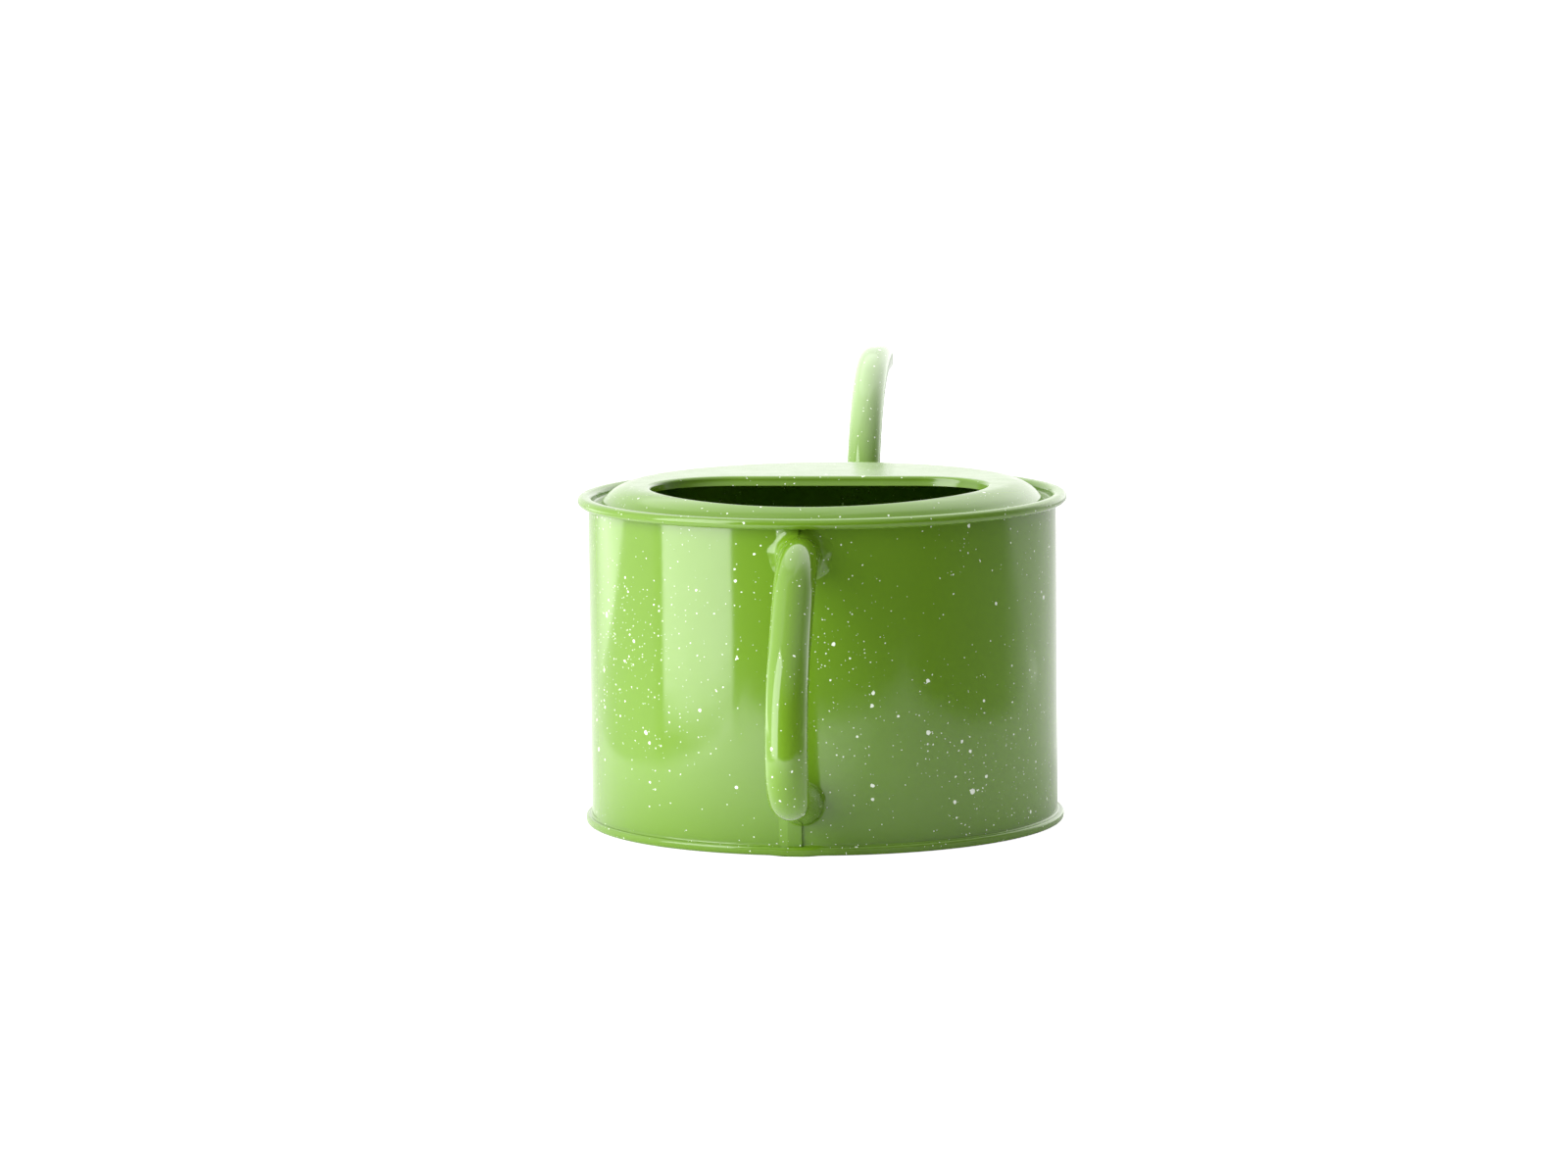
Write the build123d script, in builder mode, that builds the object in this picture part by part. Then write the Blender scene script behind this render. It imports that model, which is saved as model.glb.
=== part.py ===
from build123d import *
import os
from math import atan2, cos, degrees, radians, sin, tan

# Watering can in pressed and rolled steel sheet. Millimetres, +Z up, origin on the can's
# axis at floor level. The handle stands towards -Y and the spout towards +Y.

# ---- can ----
can_radius = 75.0  # outside of the rolled wall
can_height = 105.75  # floor to the top of the rolled rim
sheet = 0.65  # steel sheet with its enamel, for wall, base and cover
base_recess = 3.6  # floor to the underside of the base panel
seam_height = 3.3  # height of the double seam that joins wall and base
hook_clearance = 0.05  # between the tip of the base's inner hook and the wall's bends
hook_end_gap = 0.35  # tip of the wall's hook to the base's upper bend
bend = 0.9  # outer bend radius of the base seam
rim_bead_radius = 1.65  # radius of the rolled rim bead
rim_bead_offset = 1.75  # outside of the wall to the bead's centre
rim_bend = 2.0  # bend from the groove wall over the wall's top edge
lap_width = 4.5  # overlap of the wall sheet at its side seam
lap_edge = -0.3  # X of the overlapping sheet's free edge

# ---- top cover ----
deck_rise = 3.55  # deck above the top of the rim
groove_depth = 3.05  # top of the rim down to the groove floor
groove_width = 3.2  # flat groove between the dome and the rim
groove_inner_bend = 0.8
groove_outer_bend = 0.8
shoulder_width = 10.9  # radial width of the dome's rounded shoulder
skirt_radius = 3.35  # small lower radius of the shoulder, where it turns down into the groove
skirt_run = 0.05  # straight run below the shoulder, down to the groove's bend
mouth_front_margin = 6.55  # dome edge to the mouth, towards the handle
mouth_side_margin = 16.75  # dome edge to the mouth, at its widest
mouth_rear = 15.0  # straight rear edge of the mouth, from the axis
lip_depth = 2.9  # deck down to the lower edge of the turned-down lip
lip_round = 0.8  # rounding of the lip's upper edge

# ---- handle ----
handle_radius = 6.5
handle_wall = 1.0
handle_reach = 51.0  # wall to the tube's centre line at its widest
handle_drop = 11.75  # top of the rim down to the upper end's centre line
handle_stub = 14.0  # wall to the corner where the upper end turns down
handle_knee_height = 56.4  # floor to the corner where the slant meets the grip
handle_heel_height = 26.3  # floor to the corner where the grip meets the lower end
handle_foot_height = 16.5  # floor to the lower end's centre line at the wall
tube_overrun = 6.0  # length by which each tube end starts inside the wall before it is trimmed
shoulder_bend_share = 0.26  # each bend's length along its leg, as a share of that leg
knee_bend_share = 0.57
heel_bend_share = 0.4

# ---- spout ----
spout_radius = 5.7
spout_wall = 0.8
spout_reach = 144.5  # wall to the tip
spout_top = 129.3  # floor to the centre line at the tip
spout_tip_run = 6.0  # straight level run at the tip
spout_root_height = 23.2
spout_root_slope = 10.0  # degrees
spout_knee_reach = 43.4  # wall to the corner where the spout turns up
spout_crown_reach = 101.0  # wall to the corner where it levels out
spout_knee_bend_share = 0.75  # lower bend's length along the root leg, as a share of that leg
spout_inset = 1.5  # how far the tube stands inside the wall
hole_clearance = 0.05  # between the spout tube and its hole in the wall

# ---- welds ----
handle_top_weld_leg = 3.4
handle_foot_weld_leg = 1.2
spout_weld_leg = 2.5
seam_weld_leg = 0.6
weld_edge = 0.02  # thickness at a round weld's thin end
rim_clearance = 0.15  # between the handle's upper weld and the rim bead

# ---- derived places ----
inner_radius = can_radius - sheet
countersink_radius = inner_radius - sheet
seam_radius = can_radius + 3 * sheet
hook_height = sheet + bend + hook_clearance
bead_centre_radius = can_radius + rim_bead_offset
bead_centre_height = can_height - rim_bead_radius
bead_underside = bead_centre_height - rim_bead_radius
lap_top = bead_underside - rim_clearance
dome_radius = countersink_radius - groove_width
shoulder_start = dome_radius - shoulder_width
deck_height = can_height + deck_rise
groove_height = can_height - groove_depth
skirt_end = groove_height + groove_inner_bend + skirt_run
skirt_drop = deck_height - skirt_end
skirt_offset = shoulder_width - skirt_radius
shoulder_radius = (skirt_offset**2 + skirt_drop**2 - skirt_radius**2) / (
    2 * (skirt_drop - skirt_radius)
)
skirt_angle = degrees(atan2(shoulder_radius - skirt_drop, skirt_offset))
lip_height = deck_height - lip_depth
mouth_half_width = dome_radius - mouth_side_margin
mouth_centre = dome_radius - mouth_front_margin - mouth_half_width
mouth_corner = mouth_rear + mouth_centre


def bend_radius(before, corner, after, run):
    """Radius of the bend that starts and ends the length run away from its corner."""
    turn = radians((corner - before).get_angle(after - corner))
    return run / tan(turn / 2)


handle_top_height = can_height - handle_drop
handle_out = can_radius + handle_reach
foot_slope = atan2(handle_heel_height - handle_foot_height, handle_reach)
handle_start = Vector(0, tube_overrun - can_radius, handle_top_height)
handle_shoulder = Vector(0, -can_radius - handle_stub, handle_top_height)
handle_knee = Vector(0, -handle_out, handle_knee_height)
handle_heel = Vector(0, -handle_out, handle_heel_height)
handle_end = Vector(
    0, tube_overrun - can_radius, handle_foot_height - tube_overrun * tan(foot_slope)
)
slant = (handle_knee - handle_shoulder).length
grip = (handle_heel - handle_knee).length
handle_bends = [
    bend_radius(handle_start, handle_shoulder, handle_knee, shoulder_bend_share * slant),
    bend_radius(handle_shoulder, handle_knee, handle_heel, knee_bend_share * grip),
    bend_radius(handle_knee, handle_heel, handle_end, heel_bend_share * grip),
]

root_rise = tan(radians(spout_root_slope))
spout_start = Vector(
    0, inner_radius - spout_inset, spout_root_height - root_rise * (sheet + spout_inset)
)
spout_knee = Vector(
    0,
    can_radius + spout_knee_reach,
    spout_root_height + root_rise * spout_knee_reach,
)
spout_crown = Vector(0, can_radius + spout_crown_reach, spout_top)
spout_tip = Vector(0, can_radius + spout_reach, spout_top)
spout_knee_run = spout_knee_bend_share * (spout_knee - spout_start).length
spout_crown_run = (spout_tip - spout_crown).length - spout_tip_run
spout_bends = [
    bend_radius(spout_start, spout_knee, spout_crown, spout_knee_run),
    bend_radius(spout_knee, spout_crown, spout_tip, spout_crown_run),
]

handle_top_end = Plane((0, -can_radius, handle_top_height), x_dir=(1, 0, 0), z_dir=(0, -1, 0))
handle_foot_end = Plane(
    (0, -can_radius, handle_foot_height),
    x_dir=(1, 0, 0),
    z_dir=(0, -cos(foot_slope), sin(foot_slope)),
)
spout_root = Plane(
    (0, can_radius, spout_root_height),
    x_dir=(1, 0, 0),
    z_dir=(0, cos(radians(spout_root_slope)), sin(radians(spout_root_slope))),
)

os.makedirs("parts", exist_ok=True)


def finish(name, piece):
    """Labels a piece and writes it as one STEP file."""
    piece.part.label = name
    export_step(piece.part, f"parts/{name}.step")


# Wall: rolled sheet. Its lower edge is hooked outwards and up inside the base seam, its upper
# edge is curled inside the rim bead, and its side edges overlap in a lap seam at the handle.
with BuildPart() as body_wall:
    with BuildSketch(Plane.XZ):
        with BuildLine():
            FilletPolyline(
                (seam_radius - sheet, seam_height - sheet - hook_end_gap),
                (seam_radius - sheet, sheet),
                (inner_radius, sheet),
                (inner_radius, can_height - sheet),
                (bead_centre_radius, can_height - sheet),
                radius=[bend, bend, rim_bend - sheet],
            )
            CenterArc(
                (bead_centre_radius, bead_centre_height), rim_bead_radius - sheet, 90, -135
            )
            offset(amount=sheet, side=Side.RIGHT)
        make_face()
    revolve(axis=Axis.Z)
    with BuildSketch(Plane.XY.offset(seam_height)):
        Circle(can_radius + sheet)
        Circle(can_radius - sheet / 2, mode=Mode.SUBTRACT)
        with Locations((lap_edge, -can_radius)):
            Rectangle(
                lap_width, can_radius, align=(Align.MAX, Align.CENTER), mode=Mode.INTERSECT
            )
    extrude(amount=lap_top - seam_height)
    with BuildSketch(spout_root):
        Circle(spout_radius + hole_clearance)
    extrude(amount=can_radius / 4, both=True, mode=Mode.SUBTRACT)
finish("body_wall", body_wall)

# Base: pressed disc, recessed from the floor, its edge rolled round the wall's hook.
with BuildPart() as base_plate:
    with BuildSketch(Plane.XZ):
        with BuildLine():
            FilletPolyline(
                (0, base_recess),
                (countersink_radius, base_recess),
                (countersink_radius, 0),
                (seam_radius, 0),
                (seam_radius, seam_height),
                (can_radius, seam_height),
                (can_radius, hook_height),
                radius=[bend, bend, bend, bend, bend],
            )
            offset(amount=sheet, side=Side.LEFT)
        make_face()
    revolve(axis=Axis.Z)
finish("base_plate", base_plate)

# Solid under the cover's upper face, which trims the mouth's turned-down lip to the dome.
with BuildPart() as dome_block:
    with BuildSketch(Plane.XZ):
        with BuildLine():
            Line((0, deck_height), (shoulder_start, deck_height))
            CenterArc(
                (shoulder_start, deck_height - shoulder_radius),
                shoulder_radius,
                90,
                skirt_angle - 90,
            )
            CenterArc((dome_radius - skirt_radius, skirt_end), skirt_radius, skirt_angle, -skirt_angle)
            Polyline((dome_radius, skirt_end), (0, skirt_end), (0, deck_height))
        make_face()
    revolve(axis=Axis.Z)

# Outline of the D-shaped mouth: a half circle towards the handle, rounded rear corners and a
# straight rear edge.
with BuildSketch() as mouth:
    with BuildLine():
        CenterArc((0, -mouth_centre), mouth_half_width, 180, 180)
        CenterArc((mouth_half_width - mouth_corner, -mouth_centre), mouth_corner, 0, 90)
        Line(
            (mouth_half_width - mouth_corner, mouth_rear),
            (mouth_corner - mouth_half_width, mouth_rear),
        )
        CenterArc((mouth_corner - mouth_half_width, -mouth_centre), mouth_corner, 90, 90)
    make_face()

with BuildPart() as mouth_lip:
    with BuildSketch(Plane.XY.offset(lip_height)):
        add(mouth.sketch)
        offset(amount=sheet)
    extrude(amount=lip_depth)
    add(dome_block.part, mode=Mode.INTERSECT)

# Cover: low dome in a groove, its outer edge rolled over the wall's curl as the rim bead, with
# the mouth cut through it and the mouth's edge turned down.
with BuildPart() as top_cover:
    with BuildSketch(Plane.XZ):
        with BuildLine():
            Line((0, deck_height), (shoulder_start, deck_height))
            CenterArc(
                (shoulder_start, deck_height - shoulder_radius),
                shoulder_radius,
                90,
                skirt_angle - 90,
            )
            CenterArc((dome_radius - skirt_radius, skirt_end), skirt_radius, skirt_angle, -skirt_angle)
            FilletPolyline(
                (dome_radius, skirt_end),
                (dome_radius, groove_height),
                (countersink_radius, groove_height),
                (countersink_radius, can_height),
                (bead_centre_radius, can_height),
                radius=[groove_inner_bend, groove_outer_bend, rim_bend],
            )
            CenterArc((bead_centre_radius, bead_centre_height), rim_bead_radius, 90, -255)
            offset(amount=sheet, side=Side.RIGHT)
        make_face()
    revolve(axis=Axis.Z)
    add(mouth_lip.part)
    with BuildSketch(Plane.XY.offset(lip_height - lip_depth)):
        add(mouth.sketch)
    extrude(amount=3 * lip_depth, mode=Mode.SUBTRACT)
    mouth_outline = mouth.sketch.face().outer_wire()
    mouth_edges = top_cover.edges().filter_by(
        lambda edge: (edge @ 0.5).Z > lip_height + lip_depth / 2
        and mouth_outline.distance_to(Vector((edge @ 0.5).X, (edge @ 0.5).Y, 0)) < 0.01
        and abs((edge % 0.5).Z) < 0.9
    )
    fillet(mouth_edges, radius=lip_round)
finish("top_cover", top_cover)

# Weld along the free edge of the wall's lap seam.
with BuildPart() as side_seam_weld:
    with BuildSketch(Plane.XY.offset(seam_height)):
        with BuildLine():
            Polyline(
                (lap_edge, -can_radius + sheet / 4),
                (lap_edge, -can_radius - sheet),
                (lap_edge + seam_weld_leg, -can_radius + sheet / 4),
                close=True,
            )
        make_face()
    extrude(amount=lap_top - seam_height)
    add(body_wall.part, mode=Mode.SUBTRACT)
finish("side_seam_weld", side_seam_weld)

# Handle: bent steel tube, its ends coped to the wall and its lap seam.
with BuildPart() as handle_tube:
    with BuildLine(Plane.YZ) as handle_path:
        FilletPolyline(
            handle_start,
            handle_shoulder,
            handle_knee,
            handle_heel,
            handle_end,
            radius=handle_bends,
        )
    with BuildSketch(handle_path.line ^ 0):
        Circle(handle_radius)
        Circle(handle_radius - handle_wall, mode=Mode.SUBTRACT)
    sweep(path=handle_path.line)
    with BuildSketch():
        Circle(can_radius)
    extrude(amount=can_height, mode=Mode.SUBTRACT)
    add(body_wall.part, mode=Mode.SUBTRACT)
    add(side_seam_weld.part, mode=Mode.SUBTRACT)
finish("handle_tube", handle_tube)


def weld_ring(end, tube_radius, leg):
    """Conical weld round a tube that meets the wall at the plane end, whose Z points along the
    tube: a cone that narrows from the wall to the tube, less the tube and the can."""
    with BuildPart() as ring:
        with BuildSketch(end.offset(-leg)):
            Circle(tube_radius + 2 * leg)
        with BuildSketch(end.offset(leg)):
            Circle(tube_radius + weld_edge)
        loft()
        with BuildSketch(end.offset(-leg)):
            Circle(tube_radius)
        extrude(amount=3 * leg, mode=Mode.SUBTRACT)
        with BuildSketch():
            Circle(can_radius)
        extrude(amount=can_height, mode=Mode.SUBTRACT)
    return ring.part


with BuildPart() as handle_top_weld:
    add(weld_ring(handle_top_end, handle_radius, handle_top_weld_leg))
    add(handle_tube.part, mode=Mode.SUBTRACT)
    add(body_wall.part, mode=Mode.SUBTRACT)
    add(side_seam_weld.part, mode=Mode.SUBTRACT)
    split(bisect_by=Plane.XY.offset(lap_top), keep=Keep.BOTTOM)
finish("handle_top_weld", handle_top_weld)

with BuildPart() as handle_foot_weld:
    add(weld_ring(handle_foot_end, handle_radius, handle_foot_weld_leg))
    add(body_wall.part, mode=Mode.SUBTRACT)
    add(side_seam_weld.part, mode=Mode.SUBTRACT)
finish("handle_foot_weld", handle_foot_weld)

# Spout: bent steel tube that stands in a hole low in the wall, opposite the handle.
with BuildPart() as spout_tube:
    with BuildLine(Plane.YZ) as spout_path:
        FilletPolyline(spout_start, spout_knee, spout_crown, spout_tip, radius=spout_bends)
    with BuildSketch(spout_path.line ^ 0):
        Circle(spout_radius)
        Circle(spout_radius - spout_wall, mode=Mode.SUBTRACT)
    sweep(path=spout_path.line)
finish("spout_tube", spout_tube)

with BuildPart() as spout_weld:
    add(weld_ring(spout_root, spout_radius, spout_weld_leg))
finish("spout_weld", spout_weld)
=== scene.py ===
import math

import bmesh
import bpy
import numpy as np
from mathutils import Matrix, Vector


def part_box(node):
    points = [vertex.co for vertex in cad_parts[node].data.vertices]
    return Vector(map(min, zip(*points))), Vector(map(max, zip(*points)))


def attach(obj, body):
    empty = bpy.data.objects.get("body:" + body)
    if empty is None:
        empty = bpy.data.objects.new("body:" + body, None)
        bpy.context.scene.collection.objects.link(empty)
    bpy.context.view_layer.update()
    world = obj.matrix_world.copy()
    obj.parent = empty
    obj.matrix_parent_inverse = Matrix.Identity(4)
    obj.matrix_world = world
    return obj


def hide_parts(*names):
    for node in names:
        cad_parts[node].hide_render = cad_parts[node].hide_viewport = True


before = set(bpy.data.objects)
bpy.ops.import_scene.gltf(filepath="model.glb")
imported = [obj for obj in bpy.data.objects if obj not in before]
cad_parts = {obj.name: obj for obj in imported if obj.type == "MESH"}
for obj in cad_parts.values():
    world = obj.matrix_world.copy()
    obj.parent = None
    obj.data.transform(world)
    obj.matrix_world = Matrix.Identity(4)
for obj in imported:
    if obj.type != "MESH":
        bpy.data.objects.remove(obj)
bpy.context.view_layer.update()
print("frame loaded:", len(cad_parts), "nodes")


# sizes are in millimetres and turn into metres when a mesh is made
def nodeBox(node):
    low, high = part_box(node)
    return np.array(low) * 1000, np.array(high) * 1000


rimHigh = nodeBox("top_cover")[1]
seamHigh = nodeBox("base_plate")[1]
gripLow, gripHigh = nodeBox("handle_tube")
spoutLow, spoutHigh = nodeBox("spout_tube")

can = {
    "sheet": 0.65,
    "rimProud": 3.4,  # rim bead beyond the wall
    "deckRise": 3.55,  # deck above the top of the rim
    "seamHeight": 3.3,
    "beadRadius": 1.65,
    "sharpAngle": 38,  # degrees between faces, above which an edge isn't smoothed
}
wallRadius = rimHigh[0] - can["rimProud"]
innerRadius = wallRadius - can["sheet"]
countersink = innerRadius - can["sheet"]  # radius at which cover and base press against the wall
deckHeight = rimHigh[2]
rimTop = deckHeight - can["deckRise"]
seamRadius = seamHigh[0]
beadCentre = (rimHigh[0] - can["beadRadius"], rimTop - can["beadRadius"])


# circle arc: centre plus radius times (cos a, sin a), for equal steps of a
def arcPoints(centre, radius, start, end, steps):
    a = np.radians(np.linspace(start, end, steps + 1))
    return np.stack([centre[0] + radius * np.cos(a), centre[1] + radius * np.sin(a)], axis=1)


# straight runs through the corners, each corner rounded by the circle that touches both of its
# runs: the circle's centre lies on the corner's bisector, radius / cos(half the turn) away
def roundedPath(corners, bends, steps=8):
    corners = np.asarray(corners, float)
    points = [corners[:1]]
    for before, here, after, bend in zip(corners, corners[1:], corners[2:], bends):
        first = (here - before) / np.linalg.norm(here - before)
        then = (after - here) / np.linalg.norm(after - here)
        turn = math.atan2(first[0] * then[1] - first[1] * then[0], first @ then)
        side = math.copysign(1, turn)
        start = here - first * bend * math.tan(abs(turn) / 2)
        centre = start + side * bend * np.array([-first[1], first[0]])
        a = math.degrees(math.atan2(*(start - centre)[::-1]))
        points.append(arcPoints(centre, bend, a, a + math.degrees(turn), steps))
    points.append(corners[-1:])
    return np.concatenate(points)


# lengths of the straight runs between corners, and the turn at each corner between two runs
def runsAndTurns(corners):
    runs = np.diff(corners, axis=0)
    lengths = np.linalg.norm(runs, axis=1)
    turns = np.arccos((runs[:-1] * runs[1:]).sum(axis=1) / lengths[:-1] / lengths[1:])
    return lengths, turns


# the same path without doubled points, and with points at most the given step apart
def resample(points, step):
    apart = np.linalg.norm(np.diff(points, axis=0), axis=1) > 1e-9
    points = points[np.concatenate([[True], apart])]
    lengths = np.linalg.norm(np.diff(points, axis=0), axis=1)
    along = np.concatenate([[0], np.cumsum(lengths)])
    counts = np.maximum(1, np.ceil(lengths / step)).astype(int)
    wanted = np.concatenate([
        np.linspace(a, b, n, endpoint=False) for a, b, n in zip(along, along[1:], counts)
    ] + [along[-1:]])
    return np.stack([np.interp(wanted, along, points[:, k]) for k in range(points.shape[1])], axis=1)


# smooth rise from 0 at low to 1 at high: 3 t squared less 2 t cubed
def smoothStep(x, low, high):
    t = np.clip((x - low) / (high - low), 0, 1)
    return t * t * (3 - 2 * t)


# quads of a grid whose columns close on themselves, as its rows do if asked
def gridQuads(rows, columns, closeRows=False):
    r, c = np.meshgrid(np.arange(rows if closeRows else rows - 1), np.arange(columns), indexing="ij")
    rNext, cNext = (r + 1) % rows, (c + 1) % columns
    corners = [r * columns + c, r * columns + cNext, rNext * columns + cNext, rNext * columns + c]
    return np.stack(corners, axis=-1).reshape(-1, 4)


# joins patches, each a pair of points and quads, and welds the points that they share
def makePiece(name, patches, material, replaced):
    points, quads, start = [], [], 0
    for patchPoints, patchQuads in patches:
        points.append(patchPoints.reshape(-1, 3))
        quads.append(patchQuads + start)
        start += len(points[-1])
    mesh = bpy.data.meshes.new(name)
    mesh.from_pydata((np.concatenate(points) * 0.001).tolist(), [], np.concatenate(quads).tolist())
    work = bmesh.new()
    work.from_mesh(mesh)
    bmesh.ops.remove_doubles(work, verts=work.verts, dist=2e-6)
    bmesh.ops.recalc_face_normals(work, faces=work.faces)
    work.to_mesh(mesh)
    work.free()
    mesh.polygons.foreach_set("use_smooth", np.ones(len(mesh.polygons), bool))
    mesh.set_sharp_from_angle(angle=math.radians(can["sharpAngle"]))
    mesh.materials.append(material)
    mesh.update()
    piece = bpy.data.objects.new(name, mesh)
    bpy.context.scene.collection.objects.link(piece)
    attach(piece, "root")
    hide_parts(*replaced)
    print("made", name, len(mesh.vertices), "points")


# an outline of (radius, height) points turned round the can's axis:
# (radius cos a, radius sin a, height)
def turned(outline, angles):
    radius, height = outline[:, 0][:, None], outline[:, 1][:, None]
    return np.stack([radius * np.cos(angles), radius * np.sin(angles), height + 0 * angles], axis=-1)


# a tube along a path in the plane x = 0: path point plus radius times (cos a) sideways plus radius
# times (sin a) along the path's normal. Where the tube is flattened by its bend the rise is less,
# and the cosine and sine are raised to a power under 1, which squares the oval
def tubeGrid(path, radius, around, flat=0, sink=0):
    tangent = np.gradient(path, axis=0)
    tangent /= np.linalg.norm(tangent, axis=1)[:, None]
    normal = np.stack([-tangent[:, 1], tangent[:, 0]], axis=1)
    a = np.linspace(0, 2 * math.pi, around, endpoint=False)
    radius = np.broadcast_to(radius, len(path))[:, None]
    flat = np.broadcast_to(flat, len(path))[:, None]
    side = radius * np.sign(np.cos(a)) * np.abs(np.cos(a)) ** (1 - flat)
    rise = radius * (1 - sink * flat) * np.sign(np.sin(a)) * np.abs(np.sin(a)) ** (1 - flat)
    return np.stack([
        side,
        path[:, :1] + normal[:, :1] * rise,
        path[:, 1:] + normal[:, 1:] * rise,
    ], axis=-1)


# a node group with the given inputs and outputs, each a label with the kind of its socket
def newGroup(name, inputs, outputs):
    group = bpy.data.node_groups.new(name, "ShaderNodeTree")
    for label, kind in inputs.items():
        group.interface.new_socket(label, in_out="INPUT", socket_type="NodeSocket" + kind)
    for label, kind in outputs.items():
        group.interface.new_socket(label, in_out="OUTPUT", socket_type="NodeSocket" + kind)
    return group, group.nodes.new("NodeGroupInput"), group.nodes.new("NodeGroupOutput")


# links a socket, or sets a value, on the input with that name, or with that place for i0, i1
def plug(tree, node, key, value):
    place = int(key[1:]) if key[0] == "i" and key[1:].isdigit() else key.replace("_", " ")
    if isinstance(value, bpy.types.NodeSocket):
        tree.links.new(value, node.inputs[place])
    else:
        node.inputs[place].default_value = value


def addNode(tree, kind, settings=None, **inputs):
    node = tree.nodes.new(kind)
    for key, value in (settings or {}).items():
        setattr(node, key, value)
    for key, value in inputs.items():
        plug(tree, node, key, value)
    return node


def mathNode(tree, operation, a, b=None, c=None, clamp=False):
    node = addNode(tree, "ShaderNodeMath", {"operation": operation, "use_clamp": clamp}, i0=a)
    if b is not None:
        plug(tree, node, "i1", b)
    if c is not None:
        plug(tree, node, "i2", c)
    return node.outputs[0]


def vectorNode(tree, operation, a, b):
    return addNode(tree, "ShaderNodeVectorMath", {"operation": operation}, i0=a, i1=b)


def scaled(tree, vector, factor):
    return addNode(tree, "ShaderNodeVectorMath", {"operation": "SCALE"}, i0=vector, Scale=factor).outputs[0]


def noiseNode(tree, place, scale, detail):
    return addNode(tree, "ShaderNodeTexNoise", Vector=place, Scale=scale, Detail=detail)


# carries one range of values onto another, and stops at its ends
def rangeNode(tree, value, given, wanted, kind="LINEAR"):
    return addNode(tree, "ShaderNodeMapRange", {"interpolation_type": kind}, Value=value, From_Min=given[0],
                   From_Max=given[1], To_Min=wanted[0], To_Max=wanted[1]).outputs[0]


def blended(tree, factor, a, b):
    return addNode(tree, "ShaderNodeMix", {"data_type": "RGBA"}, i0=factor, i6=a, i7=b).outputs[2]


speckles = {
    # cell, share of cells that hold a drop, smallest and largest drop radius, in metres
    "layers": [
        (0.0012, 0.2, 0.00012, 0.00026),
        (0.0021, 0.11, 0.0002, 0.0004),
        (0.0042, 0.12, 0.0003, 0.0007),
        (0.009, 0.3, 0.0005, 0.001),
    ],
    "softness": 0.00004,  # width of a drop's edge
    "smallness": 1.8,  # a higher power makes more of the drops small
    "shake": 0.0006,  # how far the drops' outlines are shaken
    "shakeScale": 1400.0,
    "crowdScale": 22.0,
    "crowdNoise": (0.42, 0.66),  # this part of the broad noise carries the density below
    "crowdRange": (0.3, 2.6),
    "splash": 4.0,  # extra crowding in the middle of the one dense splash
    "splashPlace": (-0.0576, -0.048, 0.064),
    "splashSize": 0.036,
}
enamel = {
    "green": (0.123, 0.246, 0.012, 1),
    "white": (0.86, 0.92, 0.80, 1),
    # painted reflection: the paler colour given to the spout's tip in place of the room's light that it
    # reflects
    "paintedTipReflection": (0.56, 0.72, 0.44, 1),
    "paintedReflectionRise": 0.035,  # height in which the colour turns from green to the painted reflection
    "dropHeight": 0.06,  # millimetres, for a drop 1 mm in radius
    "drift": 0.16,
    "driftScale": 14.0,
    "smearScale": 160.0,  # of the roughness
    "smearNoise": (0.3, 0.7),
    "smearRange": (0.85, 1.2),
    "waveScale": 26.0,
    "waveHeight": 0.16,  # millimetres
    "peelScale": 420.0,
    "peelHeight": 0.0025,
    "refraction": 1.52,
}
# what differs from piece to piece: density and crowding of the speckles, gloss (the roughness),
# waves, the shift that gives each piece its own part of the pattern, and the spout's painted reflection, a
# paler tip
coats = {
    "wallEnamel": {"splash": speckles["splashPlace"]},
    "coverEnamel": {"density": 0.8, "crowding": 0.6, "gloss": 0.15, "shift": (0.11, 0.03, 0.0)},
    "seamEnamel": {"density": 1.2, "waves": 0.4, "shift": (0.03, 0.17, 0.0)},
    "handleEnamel": {"crowding": 0.6, "waves": 0.5, "shift": (0.0, 0.05, 0.2)},
    "spoutEnamel": {"density": 1.3, "crowding": 0.4, "waves": 0.5, "shift": (0.2, 0.0, 0.1),
                    # painted reflection: the spout's tip is made paler from this height up
                    "paintedReflectionFrom": 0.09, "paintedReflection": 0.4},
    "weldEnamel": {"density": 0.9, "crowding": 0.4, "waves": 1.5, "shift": (0.0, 0.3, 0.1)},
}


# drops thrown on the surface: in each cell of a Voronoi grid a share of the drops is kept, and a
# drop covers what lies nearer to its middle than its own radius
def buildDropLayer():
    group, given, out = newGroup(
        "dropLayer",
        {"Vector": "Vector", "Cell": "Float", "Share": "Float", "Smallest": "Float", "Largest": "Float",
         "Softness": "Float"},
        {"Mask": "Float", "Dome": "Float"},
    )
    place = scaled(group, given.outputs["Vector"], mathNode(group, "DIVIDE", 1.0, given.outputs["Cell"]))
    cells = addNode(group, "ShaderNodeTexVoronoi", {"voronoi_dimensions": "3D"}, Vector=place, Scale=1.0)
    chance = addNode(group, "ShaderNodeSeparateColor", Color=cells.outputs["Color"])
    distance = mathNode(group, "MULTIPLY", cells.outputs["Distance"], given.outputs["Cell"])
    spread = mathNode(group, "POWER", chance.outputs[1], speckles["smallness"])
    radius = rangeNode(group, spread, (0.0, 1.0), (given.outputs["Smallest"], given.outputs["Largest"]))
    inside = mathNode(group, "SUBTRACT", radius, distance)
    edge = mathNode(group, "DIVIDE", inside, given.outputs["Softness"], clamp=True)
    kept = mathNode(group, "LESS_THAN", chance.outputs[0], given.outputs["Share"])
    depth = mathNode(group, "DIVIDE", inside, radius, clamp=True)
    group.links.new(mathNode(group, "MULTIPLY", edge, kept), out.inputs["Mask"])
    group.links.new(mathNode(group, "MULTIPLY", mathNode(group, "SQRT", depth), kept), out.inputs["Dome"])
    return group


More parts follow.
